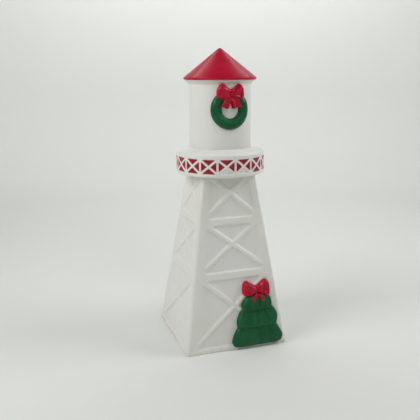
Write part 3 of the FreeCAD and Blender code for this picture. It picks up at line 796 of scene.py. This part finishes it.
galleryForm = dict(
    wall=0.0024,
    lipRadius=0.004,
    rimRadius=0.0035,
    coveRadius=0.005,       # where the deck meets the drum
    coveHeight=0.0034,
    rimHeight=0.04425,
    deckGap=0.00006,        # between the deck's inner edge and the drum
    coveGap=0.00002,        # and at the top of its cove
    floorHole=0.03815,
    deckHole=0.05415,
    panels=16,
    stepsPerPanel=12,
    latticeFoot=0.0073,
    latticeHeight=0.0291,
    bar=0.0037,
    relief=0.0014,
    margin=0.0008,          # of the plain band that is made with the lattice
    edgeReach=0.0005,
    slopeReach=0.0019,
    rounding=0.0012,
    levels=7,
    levelGap=0.0022,
    looseGap=0.0035,
    fineGap=0.0008,
    looseClear=0.0008,
    fineClear=0.0004,
    # panels whose lowest triangle is bare, with its smears of paint in millimetres:
    # x, z, half the width, half the height
    bare={0: ((7.0, 2.6, 2.2, 1.5),), 15: ((4.6, 2.4, 1.6, 1.1), (1.2, 1.4, 0.9, 0.7))},
)


def bandPanel(form, radius, index):
    # one panel of the lattice: points round the band, their faces, and how deep in the paint each lies
    half = math.pi * radius / form["panels"]
    low = galleryLow.z + form["latticeFoot"]
    high = low + form["latticeHeight"]
    inner = half - form["bar"] / 2
    triangles = crossedBay(low, high, inner, inner, (-half, low), (half, high), form["bar"])
    steps = form["stepsPerPanel"]
    foot, head = low - form["margin"], high + form["margin"]
    bottom = [(half * t, foot) for t in np.linspace(-1, 1, steps + 1)]
    sides = [(half, z) for z in np.linspace(foot, head, 11)]
    top = [(half * t, head) for t in np.linspace(1, -1, steps + 1)]
    outline = bottom[:-1] + sides[:-1] + top[:-1] + [(-x, z) for x, z in reversed(sides)][:-1]
    insets = np.linspace(-form["edgeReach"], form["slopeReach"], form["levels"])
    loops = [levelLine(corners, inset, form["rounding"], form["levelGap"])
             for corners in triangles for inset in insets]
    loose = loosePoints((-half, low), (half, high), form["looseGap"], 40)
    deepest = np.max([insetOf(loose, corners, form["rounding"]) for corners in triangles], axis=0)
    loose = loose[deepest > form["slopeReach"] + form["looseClear"]]
    smears = form["bare"].get(index)
    if smears:
        fine = loosePoints((-half, low), (half, high), form["fineGap"], 41)
        fine = fine[insetOf(fine, triangles[3], form["rounding"]) > form["slopeReach"] + form["fineClear"]]
        loose = np.vstack([loose[insetOf(loose, triangles[3], form["rounding"]) < 0], fine])
    spots, faces = filledPatch(outline, loops, loose)
    insets = np.array([insetOf(spots, corners, form["rounding"]) for corners in triangles])
    depth = form["relief"] * eased(insets.max(axis=0), -form["edgeReach"], form["slopeReach"])
    if smears:
        across = spots / mm - (0, low / mm)
        daubs = [1 - np.hypot((across[:, 0] - x) / wide, (across[:, 1] - z) / tall)
                 for x, z, wide, tall in smears]
        insets[3] = np.max(daubs, axis=0).clip(-3, 1) * mm
    paint = insets.max(axis=0).clip(-0.003, 0.003) / mm
    angle = spots[:, 0] / radius + (index + 0.5) * 2 * math.pi / form["panels"]
    reach = radius - depth
    return np.column_stack([reach * np.sin(angle), -reach * np.cos(angle), spots[:, 1]]), faces, paint


def makeGallery(form):
    radius = galleryHigh.x
    low = galleryLow.z
    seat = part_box("lantern_drum")[0].z + drumForm["spigotDepth"]
    drumRadius = drumForm["radius"]
    cove = drumRadius + form["deckGap"]
    coveBack = drumRadius + form["coveGap"]
    rim = low + form["rimHeight"]
    bandLow = low + form["latticeFoot"] - form["margin"]
    bandHigh = bandLow + form["latticeHeight"] + 2 * form["margin"]
    inner = radius - form["relief"] - form["wall"]
    section = rounded([
        (radius, bandHigh, 0),
        (radius, rim, form["rimRadius"]),
        (cove, seat, form["coveRadius"]),
        (cove, seat + form["coveHeight"], 0),
        (coveBack, seat + form["coveHeight"], 0),
        (coveBack, seat, 0),
        (form["deckHole"], seat, 0),
        (form["deckHole"], seat - form["wall"], 0),
        (drumRadius, seat - form["wall"], 0),
        (inner, rim - form["wall"], 0),
        (inner, low + form["wall"], 0),
        (form["floorHole"], low + form["wall"], 0),
        (form["floorHole"], low, 0),
        (radius, low, form["lipRadius"]),
        (radius, bandLow, 0),
    ], closed=False)
    steps = form["panels"] * form["stepsPerPanel"]
    parts = [turnedSection(section, steps, closed=False)]
    paint = [np.full(len(parts[0][0]), -3.0)]
    for index in range(form["panels"]):
        points, faces, panelPaint = bandPanel(form, radius, index)
        parts.append((points, faces))
        paint.append(panelPaint)
    paint = dict(paint=np.concatenate(paint))
    makePiece("gallerySkin", joined(parts), ["gallery"], "lattice", 50, paint)


# drum and roof

drumForm = dict(
    radius=0.0643,
    wall=0.0024,
    spigot=0.054,
    spigotDepth=0.010,
    flareHeight=0.0079,
    flareReach=0.0097,
    roofHole=0.058,
    wave=0.00022,
)

roofForm = dict(
    lip=0.004,
    tipRadius=0.007,
    wall=0.0024,
    spigot=0.05785,
    spigotDepth=0.008,
    wave=0.00030,
    peakWall=0.00312,       # upright thickness at the peak
    eaveInset=0.0045,
    lipRadius=0.0008,
    shoulderRadius=0.0016,
    tipSteps=9,
)


def dented(points, depth, length, seed):     # presses a turned shape in a little, unevenly
    reach = np.hypot(points[:, 0], points[:, 1]).clip(leastReach)
    points[:, :2] *= (1 - depth * ripple(points, length, seed) / reach)[:, None]
    return points


def makeDrum(form):
    low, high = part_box("lantern_drum")
    seat = low.z + form["spigotDepth"]
    shoulder = high.z - form["flareHeight"]
    radius = form["radius"]
    bore = radius - form["wall"]
    section = rounded([
        (form["spigot"], low.z, 0),
        (form["spigot"], seat, 0),
        (radius, seat, 0),
        (radius, shoulder, 0.0035),
        (radius + form["flareReach"], high.z, 0.0009),
        (form["roofHole"], high.z, 0),
        (form["roofHole"], high.z - form["wall"], 0),
        (bore, high.z - form["wall"], 0),
        (bore, seat + form["wall"], 0),
        (form["spigot"] - form["wall"], seat + form["wall"], 0),
        (form["spigot"] - form["wall"], low.z, 0),
    ])
    points, faces = turnedSection(section)
    points = dented(points, form["wave"], 0.06, 21)
    makePiece("drumSkin", (points, faces), ["lantern_drum"], "white")


def makeRoof(form):
    low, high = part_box("roof")
    eave = low.z + form["spigotDepth"]
    radius = high.x
    shoulder = eave + form["lip"]
    centre = high.z - form["tipRadius"]
    rise = centre - shoulder
    distance = math.hypot(radius, rise)
    touch = math.acos(form["tipRadius"] / distance) - math.atan2(rise, radius)
    tip = [(form["tipRadius"] * math.cos(a), centre + form["tipRadius"] * math.sin(a))
           for a in np.linspace(touch, math.pi / 2, form["tipSteps"])]
    shell = rounded([
        (form["spigot"] - form["wall"], low.z, 0),
        (form["spigot"], low.z, 0),
        (form["spigot"], eave, 0),
        (radius, eave, form["lipRadius"]),
        (radius, shoulder, form["shoulderRadius"]),
        (*tip[0], 0),
    ], closed=False)
    inner = rounded([
        (0, high.z - form["peakWall"], 0),
        (radius - form["eaveInset"], eave + form["wall"], 0),
        (form["spigot"] - form["wall"], eave + form["wall"], 0),
    ], closed=False)
    points, faces = turnedSection(np.vstack([shell, tip[1:], inner]))
    makePiece("roofSkin", (dented(points, form["wave"], 0.05, 31), faces), ["roof"], "red")


# ornaments: puffed shapes on the drum and on the front of the tower

def onDrum(x, z, rise):
    reach = drumForm["radius"] + rise
    angle = x / drumForm["radius"]
    return np.column_stack([reach * np.sin(angle), -reach * np.cos(angle), z])


def onTower(x, z, rise):
    return np.column_stack([x, -faceY(z) - rise, z])


def mound(points, x, z, wide, tall, size):
    across = points / mm
    return size * mm * np.exp(-((across[:, 0] - x) / wide) ** 2 - ((across[:, 1] - z) / tall) ** 2)


def crease(points, start, end, width, size):     # a ridge, or a groove where size is negative
    across = points / mm
    start, end = np.array(start, float), np.array(end, float)
    run = end - start
    share = ((across - start) @ run / (run @ run)).clip(0, 1)
    distance = np.linalg.norm(across - start - share[:, None] * run, axis=1)
    return size * mm * np.exp(-(distance / width) ** 2)


def pillow(outline, centre, place, height, shoulder, sunk):
    # a puffed form over an outline: upright at its edge, rounded over the shoulder, closed behind
    centre = np.asarray(centre, float) * mm
    spokes = outline - centre
    reach = np.linalg.norm(spokes, axis=1)
    curve = np.minimum(shoulder, 0.9 * reach)       # the shoulder stops short of the middle
    back = np.full(len(outline), -sunk)
    rings = [(centre + spokes * share, back) for share in (0, 0.35, 0.7, 1)]
    for angle in np.linspace(0, math.pi / 2, 9):
        ring = centre + spokes * (1 - curve * (1 - math.cos(angle)) / reach)[:, None]
        rings.append((ring, height(ring) * math.sin(angle)))
    for share in np.linspace(1, 0, 13)[1:]:
        ring = centre + spokes * ((1 - curve / reach) * share)[:, None]
        rings.append((ring, height(ring)))
    points = np.vstack([place(ring[:, 0], ring[:, 1], rise) for ring, rise in rings])
    return points, gridFaces(len(rings), len(outline), False, True)


wreathForm = dict(
    height=0.491,
    ring=0.02825,
    tube=0.01125,
    sink=0.0006,
    bury=0.0004,            # how far its back lies behind the drum's surface
    lump=0.0005,
    shift=-0.0012,          # its centre, left of the front
    underBow=0.0032,        # how much lower it is under the bow
)


def makeWreath(form):
    turns, steps = 180, 44
    low = math.asin((form["sink"] - form["bury"]) / form["tube"])
    angles = np.linspace(low, math.pi - low, steps)
    points = []
    for i in range(turns):
        turn = 2 * math.pi * i / turns
        side = form["ring"] + form["tube"] * np.cos(angles)
        tube = form["tube"] - form["underBow"] * eased(math.sin(turn), 0.45, 0.75)
        rise = tube * np.sin(angles) - form["sink"]
        back = np.linspace(side[-1], side[0], 8)[1:-1]
        side = np.append(side, back)
        rise = np.append(rise, np.full(len(back), -form["bury"]))
        x, z = form["shift"] + side * math.cos(turn), form["height"] + side * math.sin(turn)
        points.append(onDrum(x, z, rise))
    points = np.vstack(points)
    lump = form["lump"] * (ripple(points, 0.012, 51) + 0.7 * ripple(points, 0.005, 52) - 1.2)
    outward = points * (1, 1, 0) / np.hypot(points[:, 0], points[:, 1])[:, None]
    free = eased(np.hypot(points[:, 0], points[:, 1]), drumForm["radius"], drumForm["radius"] + 0.004)
    points += outward * (lump * free)[:, None]
    makePiece("wreathSkin", (points, gridFaces(turns, steps + 6)), ["wreath"], "green")


# outlines of the bow on the drum, in millimetres round the drum from its knot and above it

bowForm = dict(
    knot=(-0.6, 521.0),
    buried=0.0008,
    loopRise=0.0122,
    knotRise=0.0122,
    tailRise=0.0112,
    shoulder=0.0075,
    tailShoulder=0.0022,
    knotShoulder=0.0036,
    hollows=((-16, -0.5, 6.5, 7.0, -2.4), (14.5, -1.0, 5.5, 6.5, -2.6)),
    ridges=(
        ((-3, 1), (-13, 10), 2.0, 1.2), ((-13, 10), (-18, 15), 2.2, 1.0), ((2, 1), (16, 13), 1.9, 1.5),
        ((-6, -5), (-25, -6.5), 2.2, 1.0), ((5, -5), (23, -6.5), 2.2, 1.0),
        ((-25, 8), (-26, -4), 2.4, 0.9), ((22, 10), (23.5, -4), 2.4, 0.9),
    ),
    left=(
        (0.6, 9.2), (-4.6, 12.2), (-9.5, 16.8), (-14, 20), (-19, 20), (-23.6, 16.6), (-27.2, 10.5),
        (-28.2, 4), (-28, -2), (-25.8, -6.6), (-21, -9.4), (-14, -10.2), (-7, -9.4), (1, -7), (3, 0),
    ),
    right=(
        (-0.6, 9.2), (5, 12), (10.5, 16.2), (15, 19.6), (19.4, 19.4), (22.8, 15.2), (24.8, 9), (25.8, 2),
        (25.4, -4.4), (22.8, -8.8), (17.4, -10.6), (11, -10.2), (5, -9), (-1, -7), (-3, 0),
    ),
    leftTail=(
        (-12, -6, 2), (-19.8, -24.2, 0.7), (-14, -25.8, 2), (-6.4, -28.8, 0.7), (-0.4, -13.4, 1.0),
        (4, -9, 1), (3, -4, 1),
    ),
    rightTail=(
        (-4, -4, 1), (-4.6, -9, 1), (-1.6, -13.4, 1.0), (3.4, -28.8, 0.7), (10, -25.6, 2), (15, -26, 2),
        (21, -24.8, 0.7), (12.4, -6, 2),
    ),
    middle=((-3.6, 4.4), (0, 5.8), (3.6, 4.4), (4.6, 0), (3.8, -5), (0, -6.6), (-3.8, -5), (-4.6, 0)),
)


# what the two bows share, in millimetres: a mound is x, z, half its width, half its height and its rise,
# and a fold is its start, end, width and rise
bowFolds = dict(
    loops=(("left", (-15, 2.5)), ("right", (14, 2.5))),
    tails=(("leftTail", -1, (-8.4, -18.2)), ("rightTail", 1, (8.8, -18.2))),
    waist=(0, 0, 6, 8, -3.0),
    tailFold=((3, -9), (13, -26), 2.2, -1.0),
    tailTop=(0, -7, 8, 4, -1.6),
    knotFold=((0.8, 4), (0.2, -6), 0.9, -0.7),
)


def makeBow(name, form, node, place, tailsRounded):
    knotX, knotZ = np.array(form["knot"]) * mm

    def onWall(x, z, rise):
        return place(x + knotX, z + knotZ, rise)

    def loopHeight(points):
        rise = np.full(len(points), form["loopRise"])
        for x, z, wide, tall, size in form["hollows"]:
            rise += mound(points, x, z, wide, tall, size)
        for start, end, width, size in form["ridges"]:
            rise += crease(points, start, end, width, size)
        return rise + mound(points, *bowFolds["waist"])

    def tailHeight(side):
        start, end, width, size = bowFolds["tailFold"]

        def height(points):
            rise = np.full(len(points), form["tailRise"])
            rise += crease(points, (side * start[0], start[1]), (side * end[0], end[1]), width, size)
            return rise + mound(points, *bowFolds["tailTop"])
        return height

    parts = []
    for loop, centre in bowFolds["loops"]:
        outline = smoothLoop(form[loop], 120)
        parts.append(pillow(outline, centre, onWall, loopHeight, form["shoulder"], form["buried"]))
    for tail, side, centre in bowFolds["tails"]:
        if tailsRounded:
            outline = smoothLoop(form[tail], 72)
        else:
            corners = [(x * mm, z * mm, radius * mm) for x, z, radius in form[tail]]
            outline = evenLoop(rounded(corners, longest=0.002), 84)
        parts.append(pillow(outline, centre, onWall, tailHeight(side), form["tailShoulder"], form["buried"]))

    def knotHeight(points):
        return form["knotRise"] + crease(points, *bowFolds["knotFold"])

    middle = smoothLoop(form["middle"], 48)
    centre = middle.mean(axis=0) / mm
    parts.append(pillow(middle, centre, onWall, knotHeight, form["knotShoulder"], form["buried"]))
    makePiece(name, joined(parts), [node], "bow", 70)


# outlines of the tree, in millimetres from its axis and above the ground

treeForm = dict(
    axis=0.0462,
    buried=0.0036,
    footLoss=0.0022,        # how much flatter the lowest skirt is at its lower edge
    footLow=0.004,
    footHigh=0.024,
    tiers=(
        dict(
            outline=(
                (-54, 6.5), (-57, 12.5), (-56.6, 19), (-54.2, 26.5), (-50.5, 34), (-45.5, 42), (-38, 50),
                (-24, 58), (0, 61), (24, 58), (38, 50), (44.5, 42), (48.5, 35), (52.5, 28), (55.4, 20.5),
                (54.4, 13.5), (50, 7.4), (38, 4.2), (14, 3.8), (-18, 3.7), (-42, 4.0),
            ),
            centre=(0, 28), rise=0.0102, lost=0.0044, fadeLow=0.020, fadeHigh=0.060, shoulder=0.0080,
            creases=(
                ((-14, 12), (-12, 42), 2.0, 1.9), ((13, 10), (12, 42), 1.9, 2.2),
                ((37, 12), (31, 38), 2.4, 2.1), ((0, 6), (0, 42), 4.2, -1.9),
                ((24, 6), (21, 42), 3.6, -2.4), ((-33, 8), (-27, 40), 5.0, -1.2),
                ((45, 12), (40, 34), 2.4, -1.0),
            ),
        ),
        dict(
            outline=(
                (-38, 43.4), (-44, 46.5), (-45.4, 53), (-44.6, 59), (-43, 65), (-40, 71), (-37.4, 77),
                (-33, 83.5), (-22, 90), (4, 92), (27, 89), (35, 82.5), (41, 75), (44.6, 67.5), (45.2, 60),
                (44, 52.5), (40, 46.2), (28, 43), (0, 42.4),
            ),
            centre=(0, 65), rise=0.0100, lost=0.0036, fadeLow=0.058, fadeHigh=0.090, shoulder=0.0066,
            creases=(
                ((-12, 52), (-11, 74), 1.7, 1.9), ((5, 52), (4, 76), 2.4, 1.6),
                ((12, 82), (25, 55), 2.2, -3.8), ((19, 86), (34, 60), 4.2, 1.2),
                ((-4, 50), (-4, 76), 2.6, -2.0), ((-27, 50), (-22, 72), 4.0, -1.2),
                ((-40, 48.5), (0, 46.6), 1.5, 1.4), ((0, 46.6), (40, 50), 1.5, 1.4),
            ),
        ),
        dict(
            outline=(
                (-27, 79), (-32.4, 81.4), (-33.4, 86.5), (-32.6, 92.5), (-30.2, 98), (-27, 103.5),
                (-21, 109), (-8, 112.5), (12, 112.5), (24, 109), (30.5, 102.5), (32.8, 95), (32.6, 87),
                (29, 80.8), (10, 78.2), (-12, 78.2),
            ),
            centre=(0, 95), rise=0.0096, lost=0.0008, fadeLow=0.090, fadeHigh=0.112, shoulder=0.0058,
            creases=(
                ((4, 108), (4.6, 87), 1.8, -2.6), ((-16, 86), (-13, 102), 2.4, 1.3),
                ((17, 86), (14, 104), 2.4, 1.3), ((-28, 83.4), (0, 81.8), 1.5, 1.2),
                ((0, 81.8), (28, 84.2), 1.5, 1.2),
            ),
        ),
    ),
)


def makeTree(form):
    def place(x, z, rise):
        return onTower(x + form["axis"], z, rise)

    parts = []
    for tier in form["tiers"]:
        def height(points, tier=tier):
            rise = tier["rise"] - tier["lost"] * eased(points[:, 1], tier["fadeLow"], tier["fadeHigh"])
            rise -= form["footLoss"] * (1 - eased(points[:, 1], form["footLow"], form["footHigh"]))
            for start, end, width, size in tier["creases"]:
                rise = rise + crease(points, start, end, width, size)
            return rise
        outline = smoothLoop(tier["outline"], 150)
        parts.append(pillow(outline, tier["centre"], place, height, tier["shoulder"], form["buried"]))
    makePiece("treeSkin", joined(parts), ["tree"], "green", 70)


treeBowForm = dict(
    knot=(47.4, 121.6),
    buried=0.0036,
    loopRise=0.0112,
    knotRise=0.0098,
    tailRise=0.0112,
    shoulder=0.0080,
    tailShoulder=0.0044,
    knotShoulder=0.0034,
    hollows=((-18, 0, 8.5, 8.0, -2.6), (17.5, 1.5, 6.0, 9.0, -5.0)),
    ridges=(
        ((-5, 3), (-24, 15), 2.2, 1.2), ((4, 3), (17, 16), 2.0, 1.6), ((17, 16), (25, 13), 2.4, 1.2),
        ((26, 12), (27, -10), 2.4, 0.8), ((-5, -4), (-26, -9), 2.4, 0.6), ((5, -5), (25, -12), 2.2, 0.8),
    ),
    left=(
        (-2, 7.2), (-8, 11), (-15, 15), (-21.5, 18.4), (-26.6, 16.6), (-29.8, 11.5), (-31.4, 4.5),
        (-31.7, -3), (-30.4, -9.6), (-26.4, -12.8), (-19, -13.2), (-11, -10.8), (-3, -7.4), (3, -4),
        (3.4, 3),
    ),
    right=(
        (-2, 7.2), (4, 10.8), (10, 16), (16, 19.2), (21.8, 18.6), (26, 14.4), (28, 8), (28.7, 0),
        (28.3, -8), (26.2, -14.2), (21, -15.4), (13.5, -11.6), (6, -8.2), (-1, -5), (-3, 1),
    ),
    leftTail=(
        (-4, -5), (-9.4, -10), (-13.4, -16), (-15, -21.6), (-13, -26), (-8.4, -26.8), (-4.6, -22.4),
        (-2.4, -15), (1.6, -8),
    ),
    rightTail=(
        (0.5, -8), (2.6, -14), (5.4, -21), (9.4, -26), (14.2, -26.2), (16.8, -22), (15.2, -15), (9.4, -6),
    ),
    middle=((-2.6, 3.4), (1, 4.4), (4.4, 3), (5.2, -1), (3.8, -5), (0.4, -6.4), (-2.8, -4), (-3.8, 0)),
)


# lamp kit, seen from behind and when it is pulled out

plateForm = dict(
    radius=0.0255,
    thickness=0.0026,
    plug=0.0197,
    plugWall=0.002,
    depth=0.011,
    hole=0.00575,
    edge=0.0011,
)
glandForm = dict(
    bore=0.003,
    stem=0.0056,
    collar=0.008,
    collarThickness=0.002,
    nose=0.012,
    noseRadius=0.0043,
    grooves=4,
    grooveDepth=0.0008,
)


def onLampAxis(points):     # a shape made on +Z, z = 0 at the pad and +z into the tower
    return np.column_stack([points[:, 0], padY - points[:, 2], lampZ + points[:, 1]])


def makePlate(form):
    section = rounded([
        (form["hole"], -form["thickness"], 0.0003),
        (form["radius"] - 0.004, -form["thickness"], 0.0015),
        (form["radius"] - 0.003, -form["thickness"] + 0.0006, 0.0008),
        (form["radius"], -form["thickness"] + 0.0008, form["edge"]),
        (form["radius"], 0, 0.0003),
        (form["plug"], 0, 0),
        (form["plug"], form["depth"], 0.0008),
        (form["plug"] - form["plugWall"], form["depth"], 0.0006),
        (form["plug"] - form["plugWall"], 0, 0.001),
        (form["hole"], 0, 0.0003),
    ], longest=0.004)
    points, faces = turnedSection(section, 128)
    makePiece("plateSkin", (onLampAxis(points), faces), ["lamp_plate"], "white", 40)


def makeGland(form):
    plate = plateForm["thickness"]
    collarEnd = -plate - form["collarThickness"]
    noseEnd = collarEnd - form["nose"]
    corners = [
        (form["bore"], form["collarThickness"], 0.0004),
        (form["collar"], form["collarThickness"], 0.0006),
        (form["collar"], 0, 0.0003),
        (form["stem"], 0, 0),
        (form["stem"], -plate, 0),
        (form["collar"], -plate, 0.0003),
        (form["collar"], collarEnd, 0.0006),
    ]
    for groove in range(form["grooves"]):
        start = groove / form["grooves"]
        for step, sunk in ((0.05, 0), (0.13, 0), (0.16, form["grooveDepth"]), (0.22, form["grooveDepth"])):
            share = start + step
            radius = form["stem"] + (form["noseRadius"] - form["stem"]) * share
            corners.append((radius - sunk, collarEnd + (noseEnd - collarEnd) * share, 0.0003))
    corners += [(form["noseRadius"], noseEnd, 0.0006), (form["bore"], noseEnd, 0.0004)]
    points, faces = turnedSection(rounded(corners, arcSteps=4), 72)
    makePiece("glandSkin", (onLampAxis(points), faces), ["cord_gland"], "rubber", 40)


carriedOver = dict(
    lampholder_body="phenolic",
    lampholder_shell="brass",
    centre_contact="brass",
    contact_rivets="brass",
    lampholder_screws="steel",
    bulb_tip="solder",
    bulb_insulator="phenolic",
    bulb_base="brass",
    bulb_glass="glass",
    bulb_stem="glass",
    bulb_leads="steel",
    bulb_filament="steel",
)


def dressFrame():
    for node, finish in carriedOver.items():
        mesh = frame["nodes"][node].data
        mesh.materials.clear()
        mesh.materials.append(finishes[finish])
        mesh.polygons.foreach_set("use_smooth", [True] * len(mesh.polygons))
        mesh.set_sharp_from_angle(angle=math.radians(35))


# studio

def makeStudio(form):
    corners = [(0, 0, 0), (form["wall"], 0, form["bend"]), (form["wall"], form["height"], 0)]
    section = rounded(corners, closed=False, arcSteps=24, longest=0.2)
    points, faces = turnedSection(section, 128, closed=False)
    sweep, _ = weldedObject("sweep", points, faces)
    shade = Shade("paper")
    cloud = shade.noise(0.4, 2.0)
    paper = form["paper"]
    tone = shade.mixed(cloud, colour(*paper), colour(*(part * form["shadedPaper"] for part in paper)))
    sweep.data.materials.append(shade.finish(Base_Color=tone, Roughness=form["roughness"]))
    world = bpy.data.worlds.new("world")
    world.use_nodes = True
    sky = world.node_tree.nodes["Background"].inputs
    sky["Color"].default_value = colour(*form["world"])
    sky["Strength"].default_value = form["worldStrength"]
    bpy.context.scene.world = world
    bpy.context.scene.view_settings.view_transform = "Standard"


makeCamera(cameraForm)
for lampForm in lampForms:
    makeLamp(lampForm)
makeStudio(studioForm)
print("camera, lights and floor placed")
makeTower(towerForm)
makeGallery(galleryForm)
makeDrum(drumForm)
makeRoof(roofForm)
makeWreath(wreathForm)
makeBow("wreathBowSkin", bowForm, "wreath_bow", onDrum, False)
makeTree(treeForm)
makeBow("treeBowSkin", treeBowForm, "tree_bow", onTower, True)
makePlate(plateForm)
makeGland(glandForm)
dressFrame()
print("pieces made")
